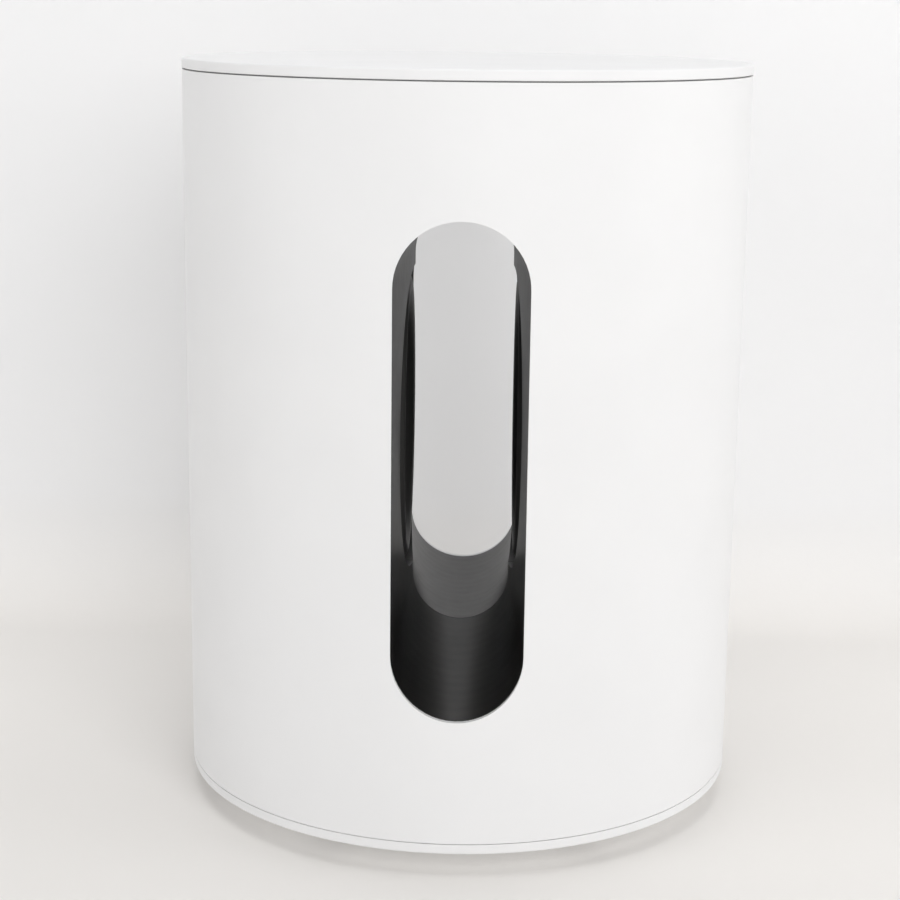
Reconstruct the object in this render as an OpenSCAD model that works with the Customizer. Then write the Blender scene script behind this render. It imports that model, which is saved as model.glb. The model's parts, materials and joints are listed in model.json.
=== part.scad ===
// Compact round subwoofer. Two woofers face each other across a tunnel that runs from front to
// back, so their forces cancel. Origin: on the floor under the middle of the body. +Z is up and
// the front is towards -Y.

/* [Body] */
// Outside diameter of the body
body_d = 230; // [228:1:234]
// Height from the floor to the top of the lid
total_h = 305; // [304:1:309]
// Gap between the floor and the body
base_gap = 10; // [9.5:0.5:10.5]
// Visible height of each end cap
band_h = 4; // [3.5:0.5:4.5]
// Thickness of the round wall
wall = 4; // [3.5:0.5:4.5]
// Open seam under the lid
lid_seam = 0.5; // [0.3:0.1:0.8]
// Open seam above the base cap
base_seam = 0.3; // [0.2:0.1:0.6]

/* [Tunnel] */
// Width of the tunnel's mouth
slot_w = 50.1; // [49.5:0.1:51]
// Height of the tunnel's mouth
slot_h = 188.6; // [187:0.2:190]
// How much the tunnel narrows on each side, from its mouth to its middle
waist_inset = 4.65; // [4.05:0.05:4.75]
// How far the tunnel's side walls bow outwards from a straight line
wall_bow = 0.7; // [0.1:0.1:0.8]
// Thickness of the liner
liner_t = 3; // [2.5:0.5:3]
// Depth of the white lip in front of the liner
lip = 2; // [1.5:0.5:2.5]
// Radius of the round openings that the woofers fire through
aperture_r = 64; // [63.8:0.1:64.6]

/* [Woofers] */
// Radius of the woofer's frame
frame_r = 75; // [74.8:0.1:75.8]
// Distance from the middle plane to the back of the mounting plate
baffle_out = 31; // [30.8:0.1:31.2]
// Width of the surround's half roll, at its outside
roll_w = 15.2; // [14.8:0.1:15.4]
// Height of the surround's half roll
roll_h = 11.2; // [9:0.2:11.4]
// Number of frame spokes
spoke_n = 8; // [4:4:8]
// Number of frame screws
frame_screw_n = 8; // [4:4:8]
// Turn of the frame's spokes away from its screws, in degrees
spoke_turn = 22.5; // [18:0.5:27]

/* [Base] */
// Outside radius of the plinth
plinth_r = 92; // [91:1:95]
// Height of the rubber foot
foot_h = 3.2; // [3:0.1:3.4]
// Radius of the circle of base cap screws
cap_screw_pcr = 101; // [100.5:0.5:101.5]

/* [Controls] */
// Radius of the join button
button_r = 4; // [3.6:0.1:4.2]
// Height of the button and of the status light above the floor
button_z = 45; // [44:0.5:46]

/* [Hidden] */
$fn = 96;

EPS = 0.01;
FAR = 400;

// body
body_r = body_d / 2;
inner_r = body_r - wall;
lid_z = total_h - band_h;
base_z = base_gap + band_h;
shell_z0 = base_z + base_seam;
shell_z1 = lid_z - lid_seam;
edge_round = 0.8;
spigot_r = inner_r - 0.3;
spigot_t = 3;
spigot_h = 9;
bead_z = 6.2;
bead_t = 0.5;
collar_t = 2.5;
collar_h = 4;
lid_rib_t = 2;
lid_rib_h = 5;
cap_screw_n = 6;
cap_boss_r = 4.5;
cap_boss_h = 24;
cap_rib_t = 4;
cap_rib_len = 13;

// tunnel
axis_z = base_gap + (total_h - base_gap) / 2;
mouth_r = slot_w / 2;
waist_r = mouth_r - waist_inset;
end_dz = slot_h / 2 - mouth_r;
nose_r = body_r - lip;
joint_gap = 0.15;
mouth_flange_w = 8;
mouth_flange_t = 2.5;
mouth_seal_t = 1;
joint_flange_w = 9;
joint_flange_t = 4;
tunnel_screw_x = 17;
tunnel_screw_dz = end_dz + 22;

// woofers, measured outwards from the middle plane
baffle_t = 4;
baffle_in = baffle_out - baffle_t;
baffle_half_y = 75;
baffle_half_z = 79;
baffle_corner = 6;
baffle_screw_y = 66;
baffle_screw_z = 73;
gasket_t = 0.8;
flange_face = baffle_out + gasket_t;
frame_flange_t = 3;
rim_r = aperture_r + 3.4;
rim_h = 10;
ledge_depth = 1.4;
rubber_t = 1.2;
surround_flat = 3.2;
ledge_s = flange_face + ledge_depth;
roll_mid_r = aperture_r - 0.4 - roll_w / 2;
cone_edge_r = roll_mid_r - roll_w / 2 + 1;
glue_gap = 0.1;
cone_lip_s = ledge_s + glue_gap;
cone_lip_in = cone_edge_r - 4.4;
former_r = 19;
former_t = 0.6;
cone_neck_r = former_r + 0.1;
cone_neck_s = 52;
cone_t = 1.1;
cap_r = 24.5;
cap_rise = 8.6;
cap_t = 0.8;
frame_screw_r = 71.8;
spoke_w = 12;
spider_s = 57.4;
spider_t = 0.55;
spider_rise = 1.8;
spider_r0 = 22;
spider_r1 = 43;
spider_waves = 4;
cup_s = 58;
cup_r = 49.5;
cup_floor_s = 66;
cup_hole_r = 22;
gap_plate_s = 68;
gap_plate_t = 5;
gap_bore_r = 20.6;
gap_plate_r = 46;
magnet_t = 14;
magnet_r = 50;
magnet_bore_r = 25;
yoke_t = 5;
yoke_r = 46;
pole_r = 17.8;
coil_s0 = 63.5;
coil_s1 = 77.5;
coil_t = 0.7;
former_s1 = 77.8;
terminal_s = flange_face + rim_h;
terminal_r = aperture_r + 3.5;
terminal_y = 5;

// base
pocket_x = 38;
pocket_y0 = 32;
pocket_y1 = 96;
pocket_top = 36;
pocket_t = 2.5;
inlet_x = -20;
jack_x = 16;
socket_z = 26;
plinth_z0 = 2.4;
plinth_floor = 5;
foot_r0 = 76;
foot_r1 = 88;
cable_gap_w = 80;
plinth_screw_r = 82;
plinth_screw_angles = [225, 315, 0, 180];
pan_head_h = 2.4;

// boards in the base
board_t = 1.6;
board_z = 18;
board_top = board_z + board_t;
board_screws_at = [[-68, -56], [-10, -56], [10, -56], [68, -56], [-68, 8], [68, 8]];

// button and light
button_board_y = 100;
button_board_screws = [-14, 22];
button_back_y = 104.6;
button_flange_y = 110.4;
button_face_y = body_r - 0.15;
light_x = 12;
light_r = 1.1;

// radio
radio_z = 258.3;
radio_t = 1.2;
radio_screws_at = [[-12, 24], [12, 24], [-12, 52], [12, 52]];
antenna_x = 106;
antenna_y = 20;
antenna_z = 262;
antenna_h = 12;
antenna_t = 1;

wadding_t = 20;
wadding_r = 96;
wadding_round = 8;

// the speaker cables come in pairs, from a socket on the board up to the woofer's two tabs
right_route = [[63, -12, 28.8], [66, -14, 38], [71, -14, 54], [67, -10, 70], [56, -6, 82],
    [48.4, -5, 88.6]];
right_twin = [[63, -9, 28.8], [66, -8, 38], [71, -4, 54], [67, 2, 70], [56, 5, 82], [48.4, 5, 88.6]];
left_route = [[8, -46, 28.8], [2, -50, 40], [-20, -50, 50], [-46, -42, 53], [-64, -26, 60],
    [-62, -12, 74], [-48.4, -5, 88.6]];
left_twin = [[8, -42, 28.8], [3, -44, 38], [-20, -45, 50], [-44, -37, 53], [-61, -20, 60],
    [-60, -2, 74], [-48.4, 5, 88.6]];
antenna_route = [[24, 38, 261.4], [40, 34, 264], [66, 22, 265], [92, 8, 264], [105.2, 2, 266]];
// a lead's radius from the woofer's axis, its sideways place and its distance outwards
lead_route = [[terminal_r - 2.2, terminal_y, terminal_s + 6], [60, 7, 50], [52, 8, 53], [44, 8, 50],
    [36.5, 7, 45.2], [34.5, 7, 43.4]];

// ---------------------------------------------------------------- helpers
function arc(cx, cy, r, a0, a1, n) =
    [for (i = [0:n]) let (a = a0 + (a1 - a0) * i / n) [cx + r * cos(a), cy + r * sin(a)]];
function oval(cx, cy, rx, ry, a0, a1, n) =
    [for (i = [0:n]) let (a = a0 + (a1 - a0) * i / n) [cx + rx * cos(a), cy + ry * sin(a)]];
function unit(v) = v / norm(v);

module facing_back() rotate([-90, 0, 0]) children();

module ring(r0, r1, h) difference() {
    cylinder(r = r1, h = h);
    translate([0, 0, -1]) cylinder(r = r0, h = h + 2);
}

// children repeated evenly round the Z axis at radius r
module around(n, r) {
    for (i = [0:n - 1])
        rotate([0, 0, 360 * i / n]) translate([r, 0, 0]) children();
}

// a bar along Y with the tunnel's outline and end radius r
module stadium(r, y0, y1) translate([0, y0, axis_z]) {
    for (dz = [-end_dz, end_dz])
        translate([0, 0, dz]) facing_back() cylinder(r = r, h = y1 - y0);
    translate([-r, 0, -end_dz]) cube([2 * r, y1 - y0, 2 * end_dz]);
}

// the tunnel's half width at distance y from its middle
function half_width(y) =
    let (k = y / nose_r) waist_r + waist_inset * k + 4 * wall_bow * k * (1 - k);

// the rear half of the tunnel's hourglass, grown by d on every side
module half_hourglass(d, reach) {
    steps = 14;
    edge = [for (i = [0:steps]) let (y = reach * i / steps) [half_width(y) + d, y]];
    other_edge = [for (i = [steps:-1:0]) [-edge[i][0], edge[i][1]]];
    translate([0, 0, axis_z]) {
        for (dz = [-end_dz, end_dz])
            translate([0, 0, dz]) facing_back()
                rotate_extrude() polygon(concat([[0, 0]], edge, [[0, reach]]));
        translate([0, 0, -end_dz]) linear_extrude(2 * end_dz)
            polygon(concat(edge, other_edge));
    }
}
module hourglass(d, reach) {
    half_hourglass(d, reach);
    mirror([0, 1, 0]) half_hourglass(d, reach);
}

// a woofer part is drawn with +Z as the way outwards, and turned to its side of the body
module woofer_side(side) {
    mirror([side == "left" ? 1 : 0, 0, 0])
        translate([0, 0, axis_z]) rotate([0, 90, 0]) children();
}

// a pan-head screw pointing down, with its head's underside at z = 0
module screw(r, len, head_r, head_h) {
    head_round = head_h * 0.55;
    slot = head_r * 0.55;
    difference() {
        rotate_extrude() polygon(concat(
            [[0, -len], [r * 0.5, -len], [r, -len + r], [r, 0], [head_r, 0],
                [head_r, head_h - head_round]],
            arc(head_r - head_round, head_h - head_round, head_round, 0, 90, 5),
            [[0, head_h]]));
        for (a = [0, 90])
            rotate([0, 0, a]) translate([-slot, -slot * 0.2, head_h - slot * 0.5])
                cube([2 * slot, slot * 0.4, slot]);
    }
}

// points of a smooth curve through a short list of points
function bend(p, t) =
    let (n = len(p) - 1, i = min(floor(t), n - 1), f = t - i,
        a = p[max(i - 1, 0)], b = p[i], c = p[i + 1], d = p[min(i + 2, n)])
    0.5 * (2 * b + (c - a) * f + (2 * a - 5 * b + 4 * c - d) * f * f
        + (3 * b - a - 3 * c + d) * f * f * f);
function smooth(p, per) = [for (k = [0:(len(p) - 1) * per]) bend(p, k / per)];

// a round cable swept along its points, as one polyhedron
function across(d) = unit(cross(d, abs(d[2]) < 0.9 ? [0, 0, 1] : [1, 0, 0]));
module cable(points, r, sides = 8) {
    n = len(points);
    dirs = [for (i = [0:n - 1]) unit(points[min(i + 1, n - 1)] - points[max(i - 1, 0)])];
    us = [for (i = 0, u = across(dirs[0]); i < n;
        i = i + 1, u = i < n ? unit(u - (u * dirs[i]) * dirs[i]) : u) u];
    rings = [for (i = [0:n - 1]) for (k = [0:sides - 1])
        let (v = cross(dirs[i], us[i]), a = 360 * k / sides)
        points[i] + r * (cos(a) * us[i] + sin(a) * v)];
    start = [[for (k = [0:sides - 1]) k]];
    skin = [for (i = [0:n - 2]) for (k = [0:sides - 1])
        let (a = i * sides + k, b = i * sides + (k + 1) % sides)
        each [[a, a + sides, b], [b, a + sides, b + sides]]];
    finish = [[for (k = [sides - 1:-1:0]) (n - 1) * sides + k]];
    polyhedron(points = rings, faces = concat(start, skin, finish));
}

// ---------------------------------------------------------------- body
module inside_wall() intersection() {
    children();
    cylinder(r = inner_r + 1, h = total_h);
}
module at_button_screws(y) {
    for (x = button_board_screws)
        translate([x, y, button_z]) facing_back() children();
}

module cap_bosses() inside_wall() around(cap_screw_n, cap_screw_pcr) {
    translate([0, 0, base_z + 0.05]) cylinder(r = cap_boss_r, h = cap_boss_h);
    translate([0, -cap_rib_t / 2, shell_z0]) cube([cap_rib_len, cap_rib_t, cap_boss_h - 1]);
}
module antenna_slots() {
    rib_w = 9;
    rib_t = 3;
    inside_wall() difference() {
        for (s = [-1, 1], y = [-antenna_y, antenna_y])
            translate([s * (antenna_x + 3.5) - rib_w / 2, y - rib_t / 2, antenna_z - rib_t])
                cube([rib_w, rib_t, antenna_h + rib_t]);
        for (s = [-1, 1])
            translate([s * (antenna_x + 0.5) - 0.6, -antenna_y - 0.1, antenna_z - 0.1])
                cube([antenna_t + 0.2, 2 * antenna_y + 0.2, antenna_h + 5]);
    }
}

module cabinet_shell() color("white") {
    difference() {
        union() {
            translate([0, 0, shell_z0]) ring(inner_r, body_r, shell_z1 - shell_z0);
            cap_bosses();
            inside_wall() at_button_screws(button_board_y + 1.7) cylinder(r = 3, h = 12);
            antenna_slots();
        }
        // groove for the lid's bead
        translate([0, 0, lid_z - bead_z]) rotate_extrude() polygon([
            [inner_r - 1, -1.4], [inner_r, -1.4], [inner_r + 0.6, -0.8], [inner_r + 0.6, 0.8],
            [inner_r, 1.4], [inner_r - 1, 1.4]]);
        stadium(mouth_r, -body_r - 5, body_r + 5);
        // rebate behind the lip, for the liner's nose
        intersection() {
            stadium(mouth_r + liner_t + 0.1, -body_r, body_r);
            cylinder(r = nose_r, h = total_h);
        }
        around(cap_screw_n, cap_screw_pcr) translate([0, 0, base_z]) cylinder(r = 1.6, h = 22);
        at_button_screws(button_board_y + 1) cylinder(r = 1, h = 6);
        // holes for the button and the light
        translate([0, button_board_y, button_z]) facing_back() cylinder(r = button_r + 0.25, h = 20);
        translate([light_x, button_board_y, button_z]) facing_back() cylinder(r = light_r + 0.2, h = 20);
    }
}

module top_cap() color("white") translate([0, 0, lid_z]) {
    spigot_in = spigot_r - spigot_t;
    rotate_extrude() polygon(concat(
        [[0, 0], [spigot_in, 0], [spigot_in, -spigot_h], [spigot_r - 0.8, -spigot_h],
            [spigot_r, -spigot_h + 1.2], [spigot_r, -bead_z - 1], [spigot_r + bead_t, -bead_z - 0.5],
            [spigot_r + bead_t, -bead_z + 0.5], [spigot_r, -bead_z + 1], [spigot_r, 0],
            [body_r - 0.3, 0], [body_r, 0.3]],
        arc(body_r - edge_round, band_h - edge_round, edge_round, 0, 90, 6),
        [[0, band_h]]));
    // ribs that stiffen the lid
    for (a = [0:60:120])
        rotate([0, 0, a]) translate([-spigot_in - 0.5, -lid_rib_t / 2, -lid_rib_h])
            cube([2 * spigot_in + 1, lid_rib_t, lid_rib_h + EPS]);
}

module cap_seal(z, h) translate([0, 0, z]) ring(spigot_r + 0.3, body_r - 1, h);
module top_cap_seal() color([0.13, 0.13, 0.14]) cap_seal(shell_z1 + 0.1, lid_seam - 0.2);
module bottom_cap_seal() color([0.13, 0.13, 0.14]) cap_seal(base_z + 0.05, base_seam - 0.1);

// ---------------------------------------------------------------- base
module pocket_box(grow, z0, z1) {
    translate([-pocket_x - grow, pocket_y0 - grow, z0])
        cube([2 * (pocket_x + grow), pocket_y1 - pocket_y0 + 2 * grow, z1 - z0]);
}
module at_points(points, z) {
    for (p = points)
        translate([p[0], p[1], z]) children();
}
module at_plinth_screws(z) {
    for (a = plinth_screw_angles)
        rotate([0, 0, a]) translate([plinth_screw_r, 0, z]) children();
}
// window in the pocket's front wall
module socket_window(x, w) {
    h = 14.2;
    translate([x - w / 2, pocket_y0 - pocket_t - 1, socket_z - h / 2]) cube([w, pocket_t * 2, h]);
}

module bottom_cap() color("white") difference() {
    union() {
        translate([0, 0, base_gap]) rotate_extrude() polygon(concat(
            [[0, 0]],
            arc(body_r - edge_round, edge_round, edge_round, -90, 0, 6),
            [[body_r, band_h], [spigot_r, band_h], [spigot_r, band_h + collar_h],
                [spigot_r - collar_t, band_h + collar_h], [spigot_r - collar_t, band_h],
                [0, band_h]]));
        pocket_box(pocket_t, base_gap, pocket_top + pocket_t);
        at_points(board_screws_at, base_z - 1) cylinder(r = 3.2, h = board_z - base_z + 1);
    }
    pocket_box(0, base_gap - 5, pocket_top);
    at_points(board_screws_at, base_z - 0.5) cylinder(r = 1.25, h = board_z - base_z + 1.5);
    around(cap_screw_n, cap_screw_pcr) {
        translate([0, 0, base_gap - 1]) cylinder(r = 2.2, h = 20);
        translate([0, 0, base_gap - 1]) cylinder(r = 4.4, h = pan_head_h + 1.2);
        // gap in the collar, for the boss's rib
        translate([0, -cap_rib_t / 2 - 0.4, base_z]) cube([11, cap_rib_t + 0.8, collar_h + 2]);
    }
    at_plinth_screws(base_gap - 1) cylinder(r = 1.5, h = 4);
    socket_window(inlet_x, 21.2);
    socket_window(jack_x, 16.6);
}

module bottom_cap_screws() color("silver") around(cap_screw_n, cap_screw_pcr)
    translate([0, 0, base_gap + pan_head_h + 0.2]) mirror([0, 0, 1]) screw(1.5, 18, 4, pan_head_h);

module plinth() color([0.75, 0.75, 0.75]) difference() {
    rotate_extrude() polygon([
        [0, plinth_floor], [foot_r0 - 3, plinth_floor], [foot_r0 - 3, plinth_z0],
        [plinth_r - 3, plinth_z0], [plinth_r, plinth_z0 + 3], [plinth_r, base_gap], [0, base_gap]]);
    translate([-pocket_x, pocket_y0, 0]) cube([2 * pocket_x, 100, base_gap + 1]);
    // groove that takes the rubber foot
    difference() {
        ring(foot_r0 - 0.15, foot_r1 + 0.15, foot_h + 0.1);
        translate([-cable_gap_w / 2, 0, -1]) cube([cable_gap_w, 150, base_gap]);
    }
    at_plinth_screws(0) {
        cylinder(r = 1.8, h = 20);
        cylinder(r = 3.6, h = foot_h + 0.1 + pan_head_h);
    }
}
module plinth_screws() color("silver") at_plinth_screws(foot_h + 0.1 + pan_head_h)
    mirror([0, 0, 1]) screw(1.4, 6.5, 3.2, pan_head_h - 0.2);

module foot_ring() color([0.16, 0.16, 0.17]) difference() {
    rotate_extrude() polygon([
        [foot_r0, foot_h], [foot_r0, 0.8], [foot_r0 + 0.8, 0], [foot_r1 - 0.8, 0], [foot_r1, 0.8],
        [foot_r1, foot_h]]);
    translate([-cable_gap_w / 2 - 1, 0, -1]) cube([cable_gap_w + 2, 150, 10]);
}

// ---------------------------------------------------------------- tunnel
module at_tunnel_screws(y) {
    for (x = [-tunnel_screw_x, tunnel_screw_x], s = [-1, 1])
        translate([x, y, axis_z + s * tunnel_screw_dz]) children();
}
module at_baffle_screws(z) {
    for (x = [-baffle_screw_z, baffle_screw_z], y = [-baffle_screw_y, baffle_screw_y])
        translate([x, y, z]) children();
}
// keeps what is above and below the woofers, where the tunnel's halves meet
module joint_zones() intersection() {
    children();
    for (s = [-1, 1])
        translate([-40, -5, axis_z + s * 105 - 25]) cube([80, 10, 50]);
}
// ring of space behind the round wall, from depth d0 to depth d1
module behind_wall(d0, d1) translate([0, 0, 20]) ring(inner_r - d1, inner_r - d0, total_h);

module tunnel_outside() {
    intersection() {
        hourglass(liner_t, body_r);
        cylinder(r = nose_r - 0.05, h = total_h);
    }
    // flange behind the wall at each mouth
    intersection() {
        stadium(mouth_r + mouth_flange_w, -body_r, body_r);
        behind_wall(mouth_seal_t, mouth_seal_t + mouth_flange_t);
    }
    joint_zones() stadium(waist_r + liner_t + joint_flange_w, -joint_flange_t, joint_flange_t);
    at_points(radio_screws_at, radio_z - 18) cylinder(r = 2.8, h = 18 - 0.05);
    // collars and bosses that carry the mounting plates
    for (side = ["left", "right"]) woofer_side(side) {
        translate([0, 0, waist_r - 2]) cylinder(r = aperture_r + 4, h = baffle_in - waist_r + 2);
        at_baffle_screws(waist_r - 6) cylinder(r = 4, h = baffle_in - waist_r + 6);
    }
}
module tunnel_body() difference() {
    tunnel_outside();
    hourglass(0, body_r + 5);
    at_points(radio_screws_at, radio_z - 6) cylinder(r = 1.25, h = 7);
    for (side = ["left", "right"]) woofer_side(side) {
        cylinder(r = aperture_r, h = 60);
        at_baffle_screws(waist_r + 4) cylinder(r = 1.5, h = 10);
        // flat seat for the mounting plate
        translate([-baffle_half_z - 0.4, -baffle_half_y - 0.4, baffle_in])
            cube([2 * baffle_half_z + 0.8, 2 * baffle_half_y + 0.8, 10]);
    }
    at_tunnel_screws(-20) facing_back() cylinder(r = 1.6, h = 40);
}
module half_space(front) {
    translate([-150, front ? -150 : joint_gap, 0]) cube([300, 150 - joint_gap, FAR]);
}
module tunnel_front() color([0.08, 0.08, 0.08]) intersection() {
    tunnel_body();
    half_space(true);
}
module tunnel_rear() color([0.08, 0.08, 0.08]) intersection() {
    tunnel_body();
    half_space(false);
}

module tunnel_joint_seal() color([0.2, 0.2, 0.2]) difference() {
    joint_zones() stadium(waist_r + liner_t + joint_flange_w - 1, -0.1, 0.1);
    stadium(waist_r + 1, -1, 1);
    at_tunnel_screws(-20) facing_back() cylinder(r = 1.8, h = 40);
}
module tunnel_screws() color("silver") at_tunnel_screws(-joint_flange_t - 0.1)
    rotate([90, 0, 0]) screw(1.45, 7.5, 3.2, 2.2);

module tunnel_mouth_seals() color([0.2, 0.2, 0.2]) for (front = [false, true]) intersection() {
    difference() {
        stadium(mouth_r + mouth_flange_w - 0.2, -body_r, body_r);
        stadium(mouth_r + liner_t + 0.6, -body_r - 1, body_r + 1);
    }
    behind_wall(0.05, mouth_seal_t - 0.05);
    half_space(front);
}

// ---------------------------------------------------------------- mounting plates
module rounded_plate(half_x, half_y, corner, t) {
    translate([-half_x, -half_y + corner, 0]) cube([2 * half_x, 2 * (half_y - corner), t]);
    translate([-half_x + corner, -half_y, 0]) cube([2 * (half_x - corner), 2 * half_y, t]);
    for (x = [-1, 1], y = [-1, 1])
        translate([x * (half_x - corner), y * (half_y - corner), 0]) cylinder(r = corner, h = t);
}
module baffle(side) color([0.12, 0.12, 0.12]) woofer_side(side) difference() {
    translate([0, 0, baffle_in + 0.05])
        rounded_plate(baffle_half_z, baffle_half_y, baffle_corner, baffle_t - 0.1);
    cylinder(r = aperture_r, h = 60);
    at_baffle_screws(0) cylinder(r = 2, h = 60);
    around(frame_screw_n, frame_screw_r) cylinder(r = 1.5, h = 60);
}
module baffle_screws() color("silver") for (side = ["left", "right"])
    woofer_side(side) at_baffle_screws(baffle_out) screw(1.4, 6, 3.4, 2.2);

// ---------------------------------------------------------------- woofer
module frame_gasket(side) color([0.15, 0.15, 0.15]) woofer_side(side) difference() {
    translate([0, 0, baffle_out]) ring(rim_r + 0.1, frame_r - 0.5, gasket_t - 0.05);
    around(frame_screw_n, frame_screw_r) cylinder(r = 2, h = 60);
}

module frame_rim() {
    top = flange_face + frame_flange_t;
    rotate_extrude() polygon([
        [rim_r, flange_face], [frame_r, flange_face], [frame_r, top], [rim_r + 1, top],
        [rim_r + 1, flange_face + rim_h], [rim_r - 1.5, flange_face + rim_h],
        [rim_r - 1.5, top + 1], [rim_r - 4, top + 1], [rim_r - 4, ledge_s], [rim_r, ledge_s]]);
}
module frame_spoke() rotate([90, 0, 0]) linear_extrude(spoke_w, center = true) polygon([
    [rim_r - 1.5, flange_face + 4], [rim_r + 1, flange_face + 4], [rim_r + 1, flange_face + 12],
    [cup_r, cup_floor_s + 2], [cup_r - 2.5, cup_floor_s + 2], [cup_r - 2.5, cup_s + 1],
    [rim_r - 1.5, flange_face + 9]]);
module frame_cup() rotate_extrude() polygon([
    [cup_r, cup_s], [cup_r, cup_floor_s + 2], [cup_hole_r, cup_floor_s + 2],
    [cup_hole_r, cup_floor_s], [cup_r - 3, cup_floor_s], [cup_r - 3, cup_s + 1],
    [cup_r - 6, cup_s + 1], [cup_r - 6, cup_s]]);
module frame(side) color([0.11, 0.11, 0.12]) woofer_side(side) difference() {
    union() {
        frame_rim();
        rotate([0, 0, spoke_turn]) around(spoke_n, 0) frame_spoke();
        frame_cup();
    }
    around(frame_screw_n, frame_screw_r) cylinder(r = 2, h = flange_face + 6);
}
module frame_screws() color("silver") for (side = ["left", "right"])
    woofer_side(side) around(frame_screw_n, frame_screw_r)
        translate([0, 0, flange_face + frame_flange_t]) screw(1.4, 7.5, 3, 2.2);

// one tall half roll between two flat glue strips
module surround(side) color([0.09, 0.09, 0.1]) woofer_side(side) {
    half_w = roll_w / 2;
    a = asin(rubber_t / roll_h);
    rotate_extrude() polygon(concat(
        [[roll_mid_r + half_w + surround_flat, ledge_s],
            [roll_mid_r + half_w + surround_flat, ledge_s - rubber_t]],
        oval(roll_mid_r, ledge_s, half_w, roll_h, -a, -180 + a, 24),
        [[cone_lip_in + 0.2, ledge_s - rubber_t], [cone_lip_in + 0.2, ledge_s]],
        oval(roll_mid_r, ledge_s, half_w - rubber_t, roll_h - rubber_t, -180, 0, 24)));
}

// the cone's front face at radius r
function cone_s(r) = cone_lip_s + (cone_neck_s - cone_lip_s)
    * pow((cone_lip_in - r) / (cone_lip_in - cone_neck_r), 0.9);
module cone(side) color([0.07, 0.07, 0.08]) woofer_side(side) {
    n = 10;
    rs = [for (i = [0:n]) cone_lip_in + (cone_neck_r - cone_lip_in) * i / n];
    rotate_extrude() polygon(concat(
        [[cone_edge_r, cone_lip_s + cone_t], [cone_edge_r, cone_lip_s]],
        [for (r = rs) [r, cone_s(r)]],
        [for (i = [n:-1:0]) [rs[i], cone_s(rs[i]) + cone_t * 1.25]]));
}
module dust_cap(side) color([0.07, 0.07, 0.08]) woofer_side(side) {
    ball_r = (cap_r * cap_r + cap_rise * cap_rise) / (2 * cap_rise);
    a = asin(cap_r / ball_r);
    rim_s = cone_s(cap_r) - cap_t * cos(a) - 0.05;
    translate([0, 0, rim_s - cap_rise + ball_r]) rotate_extrude() polygon(concat(
        arc(0, 0, ball_r, -90, -90 + a, 14),
        arc(0, 0, ball_r - cap_t, -90 + a, -90, 14)));
}
module coil_former(side) color([0.72, 0.55, 0.25]) woofer_side(side)
    translate([0, 0, cone_neck_s - 2]) ring(former_r - former_t, former_r, former_s1 - cone_neck_s + 2);
module voice_coil(side) color([0.72, 0.42, 0.2]) woofer_side(side)
    translate([0, 0, coil_s0]) ring(former_r, former_r + coil_t, coil_s1 - coil_s0);

// the spider's inner face at radius r
function spider_wave(r) =
    let (k = (r - spider_r0) / (spider_r1 - spider_r0))
    k < 0 || k > 1 ? spider_s : spider_s - spider_rise * (1 - cos(360 * spider_waves * k)) / 2;
module spider(side) color([0.75, 0.62, 0.35]) woofer_side(side) {
    n = 48;
    rs = concat([former_r + 0.1], [for (i = [0:n]) spider_r0 + (spider_r1 - spider_r0) * i / n],
        [cup_r - 2]);
    rotate_extrude() polygon(concat(
        [for (r = rs) [r, spider_wave(r)]],
        [for (i = [len(rs) - 1:-1:0]) [rs[i], spider_wave(rs[i]) + spider_t]]));
}

module top_plate(side) color("silver") woofer_side(side)
    translate([0, 0, gap_plate_s]) ring(gap_bore_r, gap_plate_r, gap_plate_t);
module magnet(side) color([0.2, 0.2, 0.21]) woofer_side(side)
    translate([0, 0, gap_plate_s + gap_plate_t]) rotate_extrude() polygon([
        [magnet_bore_r, 0], [magnet_r - 1, 0], [magnet_r, 1], [magnet_r, magnet_t - 1],
        [magnet_r - 1, magnet_t], [magnet_bore_r, magnet_t]]);
module yoke(side) color("silver") woofer_side(side) {
    back = gap_plate_s + gap_plate_t + magnet_t;
    rotate_extrude() polygon([
        [0, gap_plate_s - 1], [pole_r - 1, gap_plate_s - 1], [pole_r, gap_plate_s],
        [pole_r, back - 2], [pole_r + 2, back], [yoke_r - 1, back], [yoke_r, back + 1],
        [yoke_r, back + yoke_t - 1], [yoke_r - 1, back + yoke_t], [0, back + yoke_t]]);
}

// two tabs on a plate that stands on the frame's rim, at the bottom of the woofer
module terminals(side) color([0.5, 0.3, 0.15]) woofer_side(side) {
    plate_t = 1.5;
    tab_w = 2.8;
    translate([terminal_r - 2.5, -9, terminal_s]) cube([3.4, 18, plate_t]);
    for (y = [-terminal_y, terminal_y])
        translate([terminal_r - 1.5, y - tab_w / 2, terminal_s + plate_t]) {
            cube([0.8, tab_w, 8]);
            translate([-0.4, 0, 0]) cube([1.8, tab_w, 1]);
        }
}
module lead_wires(side) color([0.75, 0.45, 0.25]) woofer_side(side)
    for (m = [0, 1]) mirror([0, m, 0]) cable(smooth(lead_route, 4), 0.6);

// ---------------------------------------------------------------- electronics
module board(x0, x1, y0, y1) difference() {
    translate([x0, y0, board_z]) cube([x1 - x0, y1 - y0, board_t]);
    at_points(board_screws_at, board_z - 1) cylinder(r = 1.6, h = 6);
}
module power_board() color([0.1, 0.35, 0.2]) board(-73, -3, -61, 28);
module amplifier_board() color([0.1, 0.35, 0.2]) board(3, 73, -61, 28);

module on_board(x, y) translate([x, y, board_top]) children();
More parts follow.
